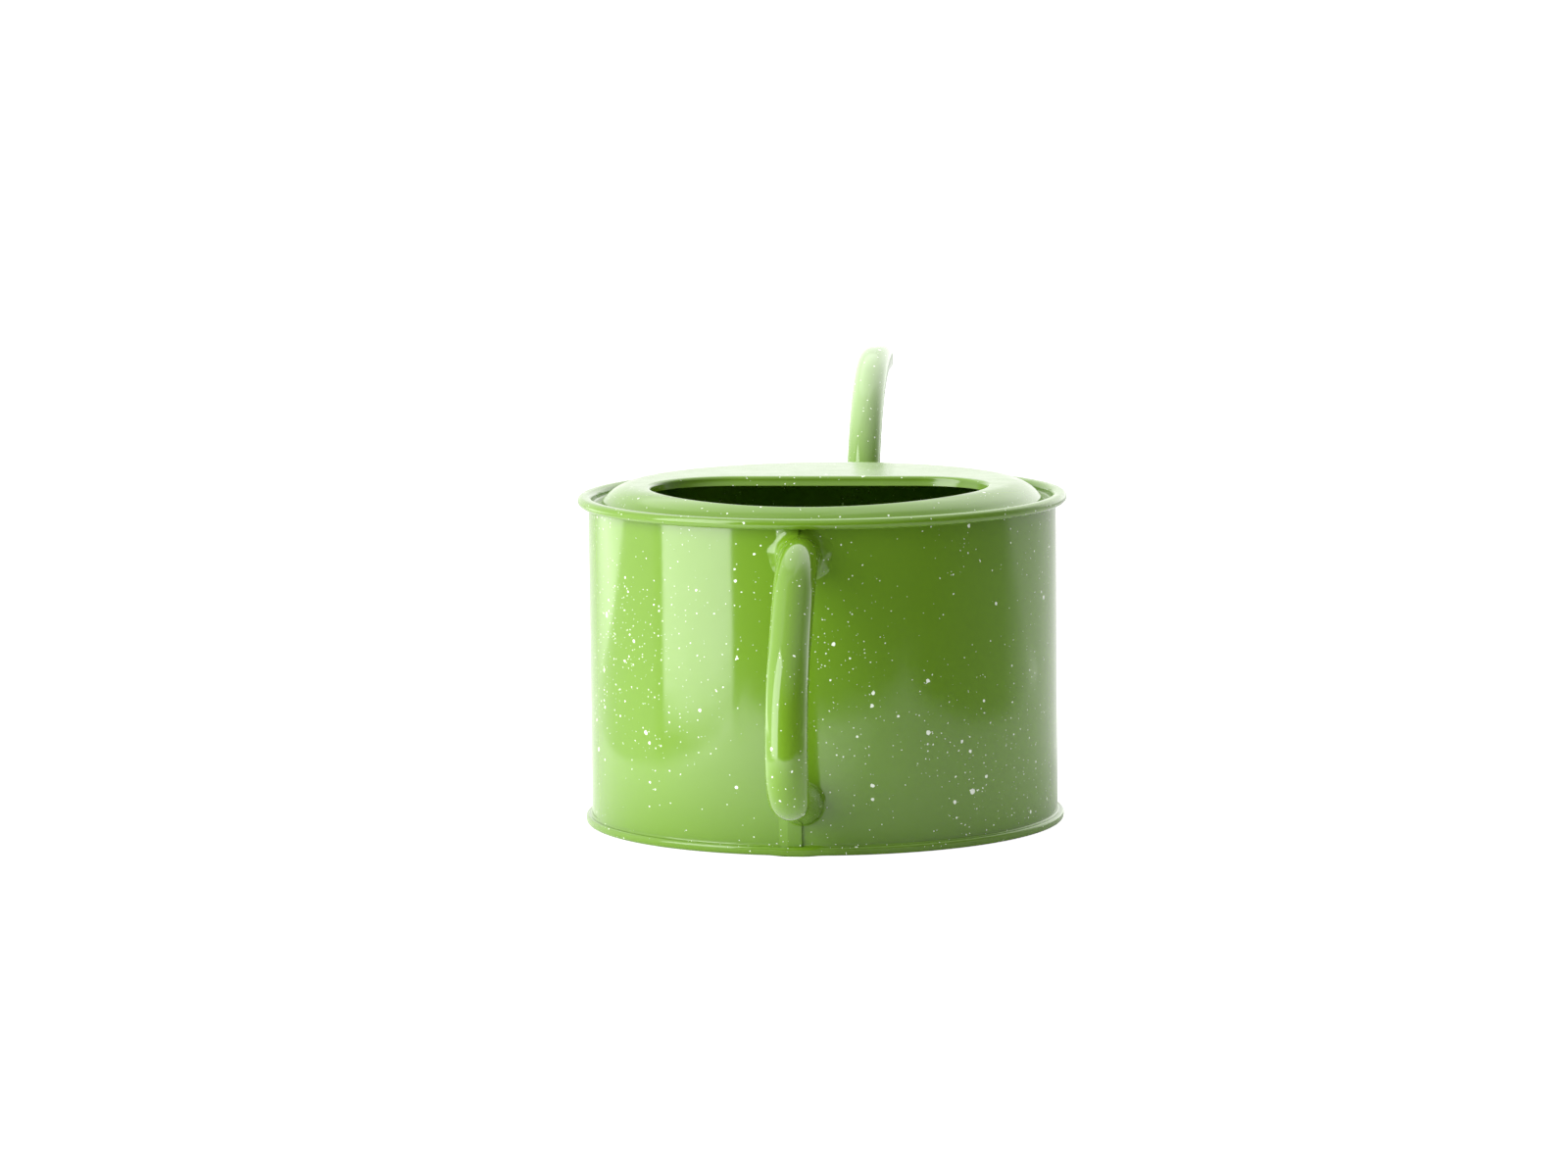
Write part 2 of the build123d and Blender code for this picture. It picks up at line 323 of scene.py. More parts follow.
# four sizes of white drops, crowded where a broad noise is high, their outlines shaken a little
def buildSpeckles(dropLayer):
    group, given, out = newGroup(
        "enamelSpeckles",
        {"Vector": "Vector", "Density": "Float", "Crowding": "Float", "Splash": "Vector",
         "Splash Size": "Float"},
        {"Mask": "Float", "Dome": "Float"},
    )
    place = given.outputs["Vector"]
    shake = noiseNode(group, place, speckles["shakeScale"], 1.0)
    centred = vectorNode(group, "SUBTRACT", shake.outputs["Color"], (0.5, 0.5, 0.5)).outputs[0]
    shaken = vectorNode(group, "ADD", place, scaled(group, centred, speckles["shake"])).outputs[0]
    crowd = noiseNode(group, place, speckles["crowdScale"], 2.0).outputs["Fac"]
    crowded = rangeNode(group, crowd, speckles["crowdNoise"], speckles["crowdRange"])
    evenly = mathNode(group, "SUBTRACT", 1.0, given.outputs["Crowding"])
    crowded = mathNode(group, "MULTIPLY_ADD", crowded, given.outputs["Crowding"], evenly)
    away = vectorNode(group, "DISTANCE", place, given.outputs["Splash"]).outputs["Value"]
    splash = rangeNode(group, away, (given.outputs["Splash Size"], 0.0), (0.0, speckles["splash"]),
                       "SMOOTHSTEP")
    crowded = mathNode(group, "ADD", crowded, splash)
    density = mathNode(group, "MULTIPLY", crowded, given.outputs["Density"])
    masks, domes = [], []
    for cell, share, smallest, largest in speckles["layers"]:
        layer = addNode(group, "ShaderNodeGroup", {"node_tree": dropLayer}, Vector=shaken, Cell=cell,
                        Share=mathNode(group, "MULTIPLY", density, share), Smallest=smallest,
                        Largest=largest, Softness=speckles["softness"])
        masks.append(layer.outputs["Mask"])
        domes.append(mathNode(group, "MULTIPLY", layer.outputs["Dome"], largest * 1000))
    mask, dome = masks[0], domes[0]
    for nextMask, nextDome in zip(masks[1:], domes[1:]):
        mask = mathNode(group, "MAXIMUM", mask, nextMask)
        dome = mathNode(group, "MAXIMUM", dome, nextDome)
    group.links.new(mask, out.inputs["Mask"])
    group.links.new(dome, out.inputs["Dome"])
    return group


# fired glass over steel: colour drifts a little with the coat's thickness, the surface swims in
# broad shallow waves and a finer orange peel
def buildCoat():
    group, given, out = newGroup(
        "enamelCoat",
        {"Vector": "Vector", "Color": "Color", "Drift": "Float", "Waves": "Float", "Peel": "Float",
         "Gloss": "Float"},
        {"Color": "Color", "Roughness": "Float", "Height": "Float"},
    )
    place = given.outputs["Vector"]
    broad = noiseNode(group, place, enamel["driftScale"], 3.0).outputs["Fac"]
    smear = noiseNode(group, place, enamel["smearScale"], 2.0).outputs["Fac"]
    peel = noiseNode(group, place, enamel["peelScale"], 1.0).outputs["Fac"]
    waves = noiseNode(group, place, enamel["waveScale"], 0.5).outputs["Fac"]
    level = mathNode(group, "SUBTRACT", broad, 0.5)
    level = mathNode(group, "MULTIPLY_ADD", level, given.outputs["Drift"], 1.0)
    shade = addNode(group, "ShaderNodeHueSaturation", Color=given.outputs["Color"], Value=level)
    rough = rangeNode(group, smear, enamel["smearNoise"], enamel["smearRange"])
    rough = mathNode(group, "MULTIPLY", rough, given.outputs["Gloss"])
    waveHeight = mathNode(group, "MULTIPLY", given.outputs["Waves"], enamel["waveHeight"])
    peelHeight = mathNode(group, "MULTIPLY", given.outputs["Peel"], enamel["peelHeight"])
    height = mathNode(group, "MULTIPLY", waves, waveHeight)
    height = mathNode(group, "MULTIPLY_ADD", peel, peelHeight, height)
    group.links.new(shade.outputs[0], out.inputs["Color"])
    group.links.new(rough, out.inputs["Roughness"])
    group.links.new(height, out.inputs["Height"])
    return group


speckleGroup = buildSpeckles(buildDropLayer())
coatGroup = buildCoat()


# the splash's usual place is a metre under the can, where it does nothing
def enamelMaterial(name, density=1.0, crowding=1.0, gloss=0.1, waves=1.0, shift=(0, 0, 0),
                   splash=(0, 0, -1), paintedReflectionFrom=0.0, paintedReflection=0.0):
    material = bpy.data.materials.new(name)
    material.use_nodes = True
    tree = material.node_tree
    shader = tree.nodes["Principled BSDF"]
    place = addNode(tree, "ShaderNodeTexCoord").outputs["Object"]
    moved = addNode(tree, "ShaderNodeMapping", Vector=place, Location=shift).outputs[0]
    coat = addNode(tree, "ShaderNodeGroup", {"node_tree": coatGroup}, Vector=moved, Color=enamel["green"],
                   Drift=enamel["drift"], Waves=waves, Peel=1.0, Gloss=gloss)
    drops = addNode(tree, "ShaderNodeGroup", {"node_tree": speckleGroup}, Vector=moved, Density=density,
                    Crowding=crowding, Splash=splash, Splash_Size=speckles["splashSize"])
    colour = coat.outputs["Color"]
    if paintedReflection:
        # painted reflection: the colour turns paler with height towards the spout's tip, standing in for the
        # light that the tip reflects
        height = addNode(tree, "ShaderNodeSeparateXYZ", Vector=place).outputs[2]
        share = rangeNode(tree, height, (paintedReflectionFrom, paintedReflectionFrom + enamel["paintedReflectionRise"]), (0.0, paintedReflection), "SMOOTHSTEP")
        colour = blended(tree, share, colour, enamel["paintedTipReflection"])
    colour = blended(tree, drops.outputs["Mask"], colour, enamel["white"])
    height = mathNode(tree, "MULTIPLY_ADD", drops.outputs["Dome"], enamel["dropHeight"],
                      coat.outputs["Height"])
    bump = addNode(tree, "ShaderNodeBump", Height=height, Distance=0.001, Strength=1.0)
    tree.links.new(colour, shader.inputs["Base Color"])
    tree.links.new(coat.outputs["Roughness"], shader.inputs["Roughness"])
    tree.links.new(bump.outputs[0], shader.inputs["Normal"])
    shader.inputs["IOR"].default_value = enamel["refraction"]
    return material


materials = {name: enamelMaterial(name, **values) for name, values in coats.items()}
print("materials ready")


lap = {
    "left": -4.8,  # x where the overlap begins, after a ramp from the plain wall
    "ramp": 2.8,
    "rampBend": 1.6,
    "edge": -0.3,  # x of the free edge
    "edgeLean": 0.04,
    "edgeRound": 0.26,
    "footRound": 0.3,
    "flatRun": 3,  # plain wall past the edge
}
wall = {
    "bottom": 1.2,
    "topInset": 1.4,  # the wall ends this far below the rim's top, inside the bead
    "columns": 420,
    "rows": 26,
    "lowRows": 3,  # rows below the square round the spout hole
    "square": 13.0,  # its half size
    "squareSteps": 20,
    "holeHeight": 23.2,
    "holeSlope": 10.0,
    "holeGap": 0.05,  # between the hole's edge and the spout
    "holeRings": 9,
}

# outline of the lap seam across the wall: x, and how far it stands out
seamOutline = roundedPath(
    [(lap["left"] - 2 * lap["ramp"], 0), (lap["left"] - lap["ramp"], 0), (lap["left"], can["sheet"]),
     (lap["edge"], can["sheet"]), (lap["edge"] + lap["edgeLean"], 0), (lap["edge"] + lap["flatRun"], 0)],
    [lap["rampBend"], lap["rampBend"], lap["edgeRound"], lap["footRound"]], steps=6)


# how far the outside of the wall stands out from its plain radius at x, near the handle
def lapRise(x):
    return np.interp(x, seamOutline[:, 0], seamOutline[:, 1])


# each face of the wall is (r cos a, r sin a, height), where r is the face's radius plus the lap's
# rise. A square is left out of it, and rings between the square and the spout's hole fill it:
# square plus t times (hole less square), in (angle, height)
def buildWall():
    seamAngles = -math.pi / 2 + seamOutline[:, 0] / wallRadius
    halfSquare = wall["square"] / wallRadius
    steps = wall["squareSteps"]
    squareAngles = np.linspace(math.pi / 2 - halfSquare, math.pi / 2 + halfSquare, steps + 1)
    right = np.linspace(seamAngles[-1], squareAngles[0], wall["columns"] // 2)[1:-1]
    left = np.linspace(squareAngles[-1], seamAngles[0] + 2 * math.pi, wall["columns"] // 2)[1:-1]
    angles = np.concatenate([seamAngles, right, squareAngles, left])
    rise = np.concatenate([seamOutline[:, 1], np.zeros(len(angles) - len(seamAngles))])
    firstColumn = len(seamAngles) + len(right)

    low, high = wall["holeHeight"] - wall["square"], wall["holeHeight"] + wall["square"]
    heights = np.concatenate([
        np.linspace(wall["bottom"], low, wall["lowRows"] + 1)[:-1],
        np.linspace(low, high, steps + 1),
        np.linspace(high, rimTop - wall["topInset"], wall["rows"])[1:],
    ])
    lowRow, highRow = wall["lowRows"], wall["lowRows"] + steps
    sideHeights = heights[lowRow:highRow]
    square = np.concatenate([
        np.stack([squareAngles[:-1], np.full(steps, low)], axis=1),
        np.stack([np.full(steps, squareAngles[-1]), sideHeights], axis=1),
        np.stack([squareAngles[:0:-1], np.full(steps, high)], axis=1),
        np.stack([np.full(steps, squareAngles[0]), heights[highRow:lowRow:-1]], axis=1),
    ])
    slope = math.radians(wall["holeSlope"])
    holeRadius = spoutHigh[0] + wall["holeGap"]
    t = np.linspace(0, 1, wall["holeRings"])[:, None, None]
    patches, rims = [], []
    for radius, stand in ((wallRadius, rise), (innerRadius, 0 * rise)):
        grid = np.stack([
            (radius + stand) * np.cos(angles) + 0 * heights[:, None],
            (radius + stand) * np.sin(angles) + 0 * heights[:, None],
            heights[:, None] + 0 * angles,
        ], axis=-1)
        quads = gridQuads(len(heights), len(angles)).reshape(len(heights) - 1, len(angles), 4)
        keep = np.ones(quads.shape[:2], bool)
        keep[lowRow:highRow, firstColumn:firstColumn + steps] = False
        patches.append((grid, quads[keep]))
        middle = np.array([math.pi / 2, wall["holeHeight"] - math.tan(slope) * (wallRadius - radius)])
        fromMiddle = (square - middle) * np.array([radius, 1])
        hole = fromMiddle / np.linalg.norm(fromMiddle, axis=1)[:, None] * holeRadius
        hole = middle + hole * np.array([1 / radius, 1 / math.cos(slope)])
        a, height = np.moveaxis(square + (hole - square) * t, -1, 0)
        rings = np.stack([radius * np.cos(a), radius * np.sin(a), height], axis=-1)
        patches.append((rings, gridQuads(len(rings), len(square))))
        rims.append((grid[0], grid[-1], rings[-1]))
    for outer, inner in zip(*rims):
        patches.append((np.stack([outer, inner]), gridQuads(2, len(outer))))
    makePiece("canWall", patches, materials["wallEnamel"], ["body_wall", "side_seam_weld"])


buildWall()


base = {
    "panelHeight": 3.6,
    "panelBend": 0.9,
    "seamBends": (0.8, 1.1, 0.95, 0.5),  # from the inside at the floor, outwards and up to the wall
    "insideBend": 0.55,
    "slotBend": 0.02,
    "gap": 0.02,  # between the base and the wall's faces
    "seamDip": 0.4,  # the seam's top falls this far towards the wall
    "tuck": 0.5,  # the part hidden in the wall rises this far past the seam
    "tuckDepth": 0.3,
    "slotHeight": 0.7,  # floor of the slot that the wall stands in
    "centre": 0.4,  # radius of the ring that a fan of faces closes
    "lift": 0.35,  # the seam's ring hangs this much lower where the lap thickens it
    "liftEase": 1,  # width over which that lift begins
    "bulgeOut": 0.3,
    "bulgeFrom": 0.3,  # beyond the wall, where the bulge begins
    "bulgeHalf": 9.0,
    "bulgeEase": 0.7,  # share of its half width in which it rises
    "bulgeMiddle": -2.6,
    "columns": 480,
    "step": 4.0,
}


# an outline turned round the axis: the panel's underside, the countersink, the double seam, the
# slot that the wall stands in and the panel's top, with a fan of faces in the middle of both sides.
# Near the lap seam a smooth bulge in x pushes the ring out, and elsewhere the ring's foot is lifted
def buildBase():
    sheet, foot, seamTop = can["sheet"], base["panelHeight"], can["seamHeight"]
    outside, inside = wallRadius + base["gap"], innerRadius - base["gap"]
    tucked = wallRadius - base["tuckDepth"]
    outline = roundedPath(
        [(base["centre"], foot), (countersink, foot), (countersink, 0), (seamRadius, 0),
         (seamRadius, seamTop), (outside, seamTop - base["seamDip"]), (outside, seamTop + base["tuck"]),
         (tucked, seamTop + base["tuck"]), (tucked, base["slotHeight"]), (inside, base["slotHeight"]),
         (inside, foot + sheet), (base["centre"], foot + sheet)],
        [base["panelBend"], *base["seamBends"], *4 * [base["slotBend"]], base["insideBend"]], steps=7)
    outline = resample(outline, base["step"])
    angles = np.linspace(-math.pi / 2, 1.5 * math.pi, base["columns"] + 1)[:-1]
    grid = turned(outline, angles)
    x, y, z = grid[..., 0], grid[..., 1], grid[..., 2]
    radius = np.hypot(x, y)
    fromEdge = base["bulgeHalf"] - np.abs(x - base["bulgeMiddle"])
    near = smoothStep(fromEdge, 0, base["bulgeHalf"] * base["bulgeEase"]) * (y < 0)
    ring = smoothStep(radius, countersink - base["liftEase"], countersink)
    z += base["lift"] * ring * (1 - near) * np.clip(1 - z / seamTop, 0, 1)
    pushed = near * smoothStep(radius, wallRadius + base["bulgeFrom"], seamRadius)
    push = 1 + base["bulgeOut"] / seamRadius * pushed
    grid[..., :2] *= push[..., None]
    patches = [(grid, gridQuads(len(outline), len(angles)))]
    for height, row in ((foot, 0), (foot + sheet, -1)):
        fan = np.stack([grid[row], np.array([0, 0, height]) + 0 * grid[row]])
        patches.append((fan, gridQuads(2, len(angles))))
    makePiece("basePlate", patches, materials["seamEnamel"], ["base_plate"])


buildBase()


cover = {
    "shoulderWidth": 10.9,
    "shoulderSlope": 43.0,  # degrees, of the straight run below the shoulder's bend
    "skirtRadius": 1.3,
    "skirtRun": 0.05,
    "grooveDepth": 3.05,
    "grooveWidth": 3.2,
    "grooveBend": 0.8,
    "rimBend": 2.0,
    "curlEnd": -165,  # degrees, where the rim bead's curl stops
    "mouthFront": 6.55,  # dome edge to the mouth, towards the handle
    "mouthSide": 16.75,
    "mouthRear": 15.0,
    "lipDepth": 2.9,
    "lipRound": 1.25,
    "lipLean": 1.1,  # how far the rear lip's lower edge leans into the mouth
    "deckRows": 40,
    "deckCrowding": 1.7,  # a higher power brings the deck's rows nearer to the skirt
    "cornerSteps": 50,
    "frontSteps": 200,
}
domeRadius = countersink - cover["grooveWidth"]
grooveHeight = rimTop - cover["grooveDepth"]
skirtEnd = grooveHeight + cover["grooveBend"] + cover["skirtRun"]
slopeSin = math.sin(math.radians(cover["shoulderSlope"]))
slopeCos = math.cos(math.radians(cover["shoulderSlope"]))
shoulderStart = domeRadius - cover["shoulderWidth"]
blendRadius = domeRadius - cover["skirtRadius"] * (1 - slopeSin)
blendHeight = skirtEnd + cover["skirtRadius"] * slopeCos
shoulderRadius = (blendRadius - shoulderStart) * slopeSin - (deckHeight - blendHeight) * slopeCos
shoulderRadius /= 1 - slopeCos


# height of the dome at a radius: flat deck, the shoulder's circle, then the straight slope
def domeHeight(radius):
    past = np.maximum(radius - shoulderStart, 0)
    bent = np.minimum(past, shoulderRadius * slopeSin)
    onBend = deckHeight - shoulderRadius + np.sqrt(shoulderRadius**2 - bent**2)
    return onBend - (past - bent) * slopeSin / slopeCos


# outline of the D-shaped mouth, anticlockwise from its right side: a quarter circle, the straight
# rear edge, a quarter circle, and the front's half circle
def mouthOutline():
    half = domeRadius - cover["mouthSide"]
    centre = domeRadius - cover["mouthFront"] - half
    rear, steps = cover["mouthRear"], cover["cornerSteps"]
    corner = rear + centre
    right, left = (half - corner, -centre), (corner - half, -centre)
    return np.concatenate([
        arcPoints(right, corner, 0, 90, steps)[:-1],
        np.stack([np.linspace(right[0], left[0], steps + 1), np.full(steps + 1, rear)], axis=1)[:-1],
        arcPoints(left, corner, 90, 180, steps)[:-1],
        arcPoints((0, -centre), half, 180, 360, cover["frontSteps"])[:-1],
    ])


# three grids with the same columns: the lip is the mouth's outline moved outwards along a profile,
# the deck goes from the lip in straight lines in plan at the dome's height, and the skirt, groove
# and rim bead are a profile turned round the axis
def buildCover():
    outline = mouthOutline()
    tangent = np.roll(outline, -1, axis=0) - np.roll(outline, 1, axis=0)
    tangent /= np.linalg.norm(tangent, axis=1)[:, None]
    outward = np.stack([tangent[:, 1], -tangent[:, 0]], axis=1)

    # lip: down from the edge's quarter circle, at the rear leaning into the mouth
    depth, bend = cover["lipDepth"], cover["lipRound"]
    lipProfile = np.concatenate([
        np.array([[0, -depth], [0, -(depth + bend) / 2]]),
        arcPoints((bend, -bend), bend, 180, 90, 10),
    ])
    share = np.clip((-lipProfile[:, 1] - bend) / (depth - bend), 0, 1)[:, None]
    lean = cover["lipLean"] * share * np.clip(outward[:, 1], 0, 1) ** 2
    plan = outline[None] + outward[None] * (lipProfile[:, 0][:, None] - lean)[..., None]
    lipHeight = domeHeight(np.linalg.norm(plan, axis=-1)) + lipProfile[:, 1][:, None]
    lipGrid = np.concatenate([plan, lipHeight[..., None]], axis=-1)
    lipGrid[0, :, 2] = deckHeight - depth

    # deck: each line ends where it meets the circle on which the skirt begins
    start = plan[-1]
    ray = start - np.array([0, start[:, 1].mean()])
    ray /= np.linalg.norm(ray, axis=1)[:, None]
    along = (start * ray).sum(axis=1)
    reach = -along + np.sqrt(along**2 + blendRadius**2 - (start**2).sum(axis=1))
    t = 1 - (1 - np.linspace(0, 1, cover["deckRows"])) ** cover["deckCrowding"]
    deckPlan = start[None] + ray[None] * (reach[None] * t[:, None])[..., None]
    deckGrid = np.concatenate([deckPlan, domeHeight(np.linalg.norm(deckPlan, axis=-1))[..., None]], axis=-1)

    skirtCentre = (domeRadius - cover["skirtRadius"], skirtEnd)
    profile = np.concatenate([
        arcPoints(skirtCentre, cover["skirtRadius"], 90 - cover["shoulderSlope"], 0, 12),
        roundedPath([(domeRadius, skirtEnd), (domeRadius, grooveHeight), (countersink, grooveHeight),
                     (countersink, rimTop), (beadCentre[0], rimTop)],
                    [cover["grooveBend"], cover["grooveBend"], cover["rimBend"]], steps=8)[1:],
        arcPoints(beadCentre, can["beadRadius"], 90, cover["curlEnd"], 40)[1:],
    ])
    rimGrid = turned(profile, np.arctan2(deckPlan[-1, :, 1], deckPlan[-1, :, 0]))
    outer = np.concatenate([lipGrid, deckGrid[1:], rimGrid[1:]])

    # the sheet's other face lies one thickness behind, along the outer face's normal, which is
    # turned so that it points up on the deck
    alongRows = np.gradient(outer, axis=0)
    alongColumns = np.roll(outer, -1, axis=1) - np.roll(outer, 1, axis=1)
    normal = np.cross(alongRows, alongColumns)
    normal /= np.linalg.norm(normal, axis=-1)[..., None]
    normal *= np.sign(normal[len(lipGrid) + 4, 0, 2])
    whole = np.concatenate([outer, (outer - normal * can["sheet"])[::-1]])
    patches = [(whole, gridQuads(len(whole), len(outline), closeRows=True))]
    makePiece("topCover", patches, materials["coverEnamel"], ["top_cover"])


buildCover()


handle = {
    "radius": gripHigh[0],
    "drop": 11.75,  # top of the rim to the upper end's centre line
    "stub": 14.0,  # wall to the first bend's corner
    "kneeHeight": 56.4,
    "heelHeight": 26.3,
    "footHeight": 16.5,
    "inset": 0.4,  # how far both ends go into the wall
    "bendShares": (0.26, 0.57, 0.4),  # of the second run, the third and the third
    "around": 72,
    "step": 2.0,
}
handleOut = gripLow[1] + handle["radius"]
handleTop = rimTop - handle["drop"]
handleSlope = (handle["heelHeight"] - handle["footHeight"]) / (-handleOut - wallRadius)


# centre line in (y, height): four straight runs, joined by three bends that each take up a share
# of a run
def handlePath():
    end = handle["inset"] - wallRadius
    corners = np.array([
        (end, handleTop), (-wallRadius - handle["stub"], handleTop), (handleOut, handle["kneeHeight"]),
        (handleOut, handle["heelHeight"]), (end, handle["footHeight"] - handleSlope * handle["inset"]),
    ])
    lengths, turns = runsAndTurns(corners)
    bends = np.array(handle["bendShares"]) * lengths[[1, 2, 2]] / np.tan(turns / 2)
    return resample(roundedPath(corners, bends, steps=24), handle["step"])


# the tube's surface, with a fan from each end's ring to the middle of that ring
def buildHandle():
    grid = tubeGrid(handlePath(), handle["radius"], handle["around"])
    patches = [(grid, gridQuads(*grid.shape[:2]))]
    for ring in (grid[0], grid[-1]):
        fan = np.stack([ring, ring.mean(axis=0) + 0 * ring])
        patches.append((fan, gridQuads(2, handle["around"])))
    makePiece("handleTube", patches, materials["handleEnamel"], ["handle_tube"])


buildHandle()


weld = {
    "columns": 144,
    "rows": 15,
    "overlap": 0.15,  # how far the inner edge goes into the tube
    "sink": 0.05,  # how far the outer edge goes into the wall
    "backInset": 0.3,  # the ring's back lies this far inside the tube
    "rimGap": 0.12,  # kept free under the rim bead
    "squash": 0.02,  # what is left of a height past that gap
}
# reach and climb of each weld, in mm, and its lumps: the direction round the tube and the width,
# both in degrees, and the size
topWeld = {
    "reach": 9.4,
    "reachLumps": [(18, 16, 1.6), (-28, 14, 0.9), (168, 14, 1.6), (200, 18, 0.7), (-90, 40, -0.7)],
    "climb": 3.0,
    "climbLumps": [(20, 25, 0.5), (160, 25, 0.6), (-90, 35, -0.9), (90, 40, 0.5)],
    "plump": 0.25,
}
footWeld = {
    "reach": 7.5,
    "reachLumps": [(30, 30, 0.3), (150, 40, 0.2), (-100, 30, -0.2)],
    "climb": 1.5,
    "climbLumps": [],
    "plump": 0.0,
}
rootWeld = {
    "reach": 8.4,
    "reachLumps": [(40, 30, 0.4), (210, 40, 0.4)],
    "climb": 2.6,
    "climbLumps": [(80, 40, 0.4)],
    "plump": 0.0,
}


# sum of the lumps: size times exp(-(angle to the lump's middle / its width) squared)
def lumps(angles, places):
    total = 0 * angles
    for middle, width, size in places:
        away = (angles - math.radians(middle) + math.pi) % (2 * math.pi) - math.pi
        total = total + size * np.exp(-((away / math.radians(width)) ** 2))
    return total


# a weld round a tube that stands on the wall. For each angle round the tube it leaves the wall at
# the reach and meets the tube at the climb. In between, it lies edge plus (reach less edge) times
# (1 - t) squared from the tube's axis and climb times t squared along it, and 4 t (1 - t) times
# plump is added to both. A last ring closes it at the back, inside the tube. Side is -1 at the
# handle and 1 at the spout
def buildWeld(name, node, values, tubeRadius, height, slope, side):
    angles = np.linspace(0, 2 * math.pi, weld["columns"] + 1)[:-1]
    reach = values["reach"] + lumps(angles, values["reachLumps"])
    climb = values["climb"] + lumps(angles, values["climbLumps"])
    edge = tubeRadius - weld["overlap"]
    t = np.linspace(0, 1, weld["rows"])[:, None]
    swell = values["plump"] * t * (1 - t) * 4
    out = edge + (reach - edge) * (1 - t) ** 2 + swell
    up = climb * t**2 + swell
    x = out * np.cos(angles)
    z = height + out * np.sin(angles) + up * slope
    standing = lapRise(x) if side < 0 else 0 * x
    y = side * (np.sqrt((wallRadius + standing) ** 2 - x**2) - weld["sink"] * (1 - t) + up)
    top = rimTop - 2 * can["beadRadius"] - weld["rimGap"]
    z = np.where(z > top, top + (z - top) * weld["squash"], z)

    a = np.arctan2(z[-1] - height, x[-1])
    backX = (tubeRadius - weld["backInset"]) * np.cos(a)
    backY = side * (np.sqrt(wallRadius**2 - backX**2) - weld["sink"])
    backZ = height + (tubeRadius - weld["backInset"]) * np.sin(a)
    grid = np.concatenate([np.stack([x, y, z], axis=-1), np.stack([backX, backY, backZ], axis=-1)[None]])
    patches = [(grid, gridQuads(len(grid), len(angles), closeRows=True))]
    makePiece(name, patches, materials["weldEnamel"], [node])


buildWeld("handleTopWeld", "handle_top_weld", topWeld, handle["radius"], handleTop, 0.0, -1)
buildWeld("handleFootWeld", "handle_foot_weld", footWeld, handle["radius"], handle["footHeight"],
          handleSlope, -1)


spout = {
    "radius": spoutHigh[0],
    "wall": 0.8,
    "rootInset": 0.99,  # from the CAD tube's slanted end to its centre line's end
    "rootHeight": wall["holeHeight"],
    "rootSlope": wall["holeSlope"],
    "kneeReach": 43.4,  # wall to the knee's corner, and to the crown's below
    "kneeShare": 0.75,  # of the first run, taken up by the knee's bend
    "crownReach": 101.0,
    "tipRun": 6.0,
    "tipFlat": 0.22,
    "tipSink": 0.6,  # height lost at the tip, as a share of tipFlat
    "around": 56,
    "step": 2.5,
}
spoutRise = math.tan(math.radians(spout["rootSlope"]))


# centre line in (y, height): out of the wall, up from the knee, and level from the crown to the
# tip, joined by a wide bend at the knee and one at the crown
def spoutPath():
    top = spoutHigh[2] - spout["radius"]
    root = spoutLow[1] + spout["rootInset"]
    corners = np.array([
        (root, spout["rootHeight"] - spoutRise * (wallRadius - root)),
        (wallRadius + spout["kneeReach"], spout["rootHeight"] + spoutRise * spout["kneeReach"]),
        (wallRadius + spout["crownReach"], top),
        (spoutHigh[1], top),
    ])
    lengths, turns = runsAndTurns(corners)
    legs = np.array([spout["kneeShare"] * lengths[0], lengths[2] - spout["tipRun"]])
    return resample(roundedPath(corners, legs / np.tan(turns / 2), steps=40), spout["step"])


# an outer and an inner tube on one line. At both ends the line and the two radii follow a quarter
# circle each, half the wall across, which rounds the tube's rim
def buildSpout():
    path = spoutPath()
    radius, thick = spout["radius"], spout["wall"]
    half = thick / 2
    turn = np.radians(np.linspace(0, 90, 6))[:-1]
    start, end = path[0], path[-1]
    into = (path[1] - path[0]) / np.linalg.norm(path[1] - path[0])
    outTo = (path[-1] - path[-2]) / np.linalg.norm(path[-1] - path[-2])
    fromEnd = (half - half * np.cos(turn))[:, None]
    middle = np.concatenate([[start + into * half], path[1:-1], [end - outTo * half]])
    middle = resample(middle, spout["step"])
    line = np.concatenate([start + into * fromEnd, middle, end - outTo * fromEnd[::-1]])
    ease = half * (1 - np.sin(turn))
    grow = np.concatenate([ease, 0 * middle[:, 0], ease[::-1]])
    # the upper bend flattens the tube a little towards its tip
    flat = spout["tipFlat"] * smoothStep(line[:, 0], wallRadius + spout["crownReach"], spoutHigh[1])
    outer = tubeGrid(line, radius - grow, spout["around"], flat, spout["tipSink"])
    inner = tubeGrid(line, radius - thick + grow, spout["around"], flat, spout["tipSink"])
    whole = np.concatenate([outer, inner[::-1]])
    patches = [(whole, gridQuads(len(whole), spout["around"], closeRows=True))]
    makePiece("spoutTube", patches, materials["spoutEnamel"], ["spout_tube"])


buildSpout()
buildWeld("spoutWeld", "spout_weld", rootWeld, spout["radius"], spout["rootHeight"], spoutRise, 1)
print("pieces made")


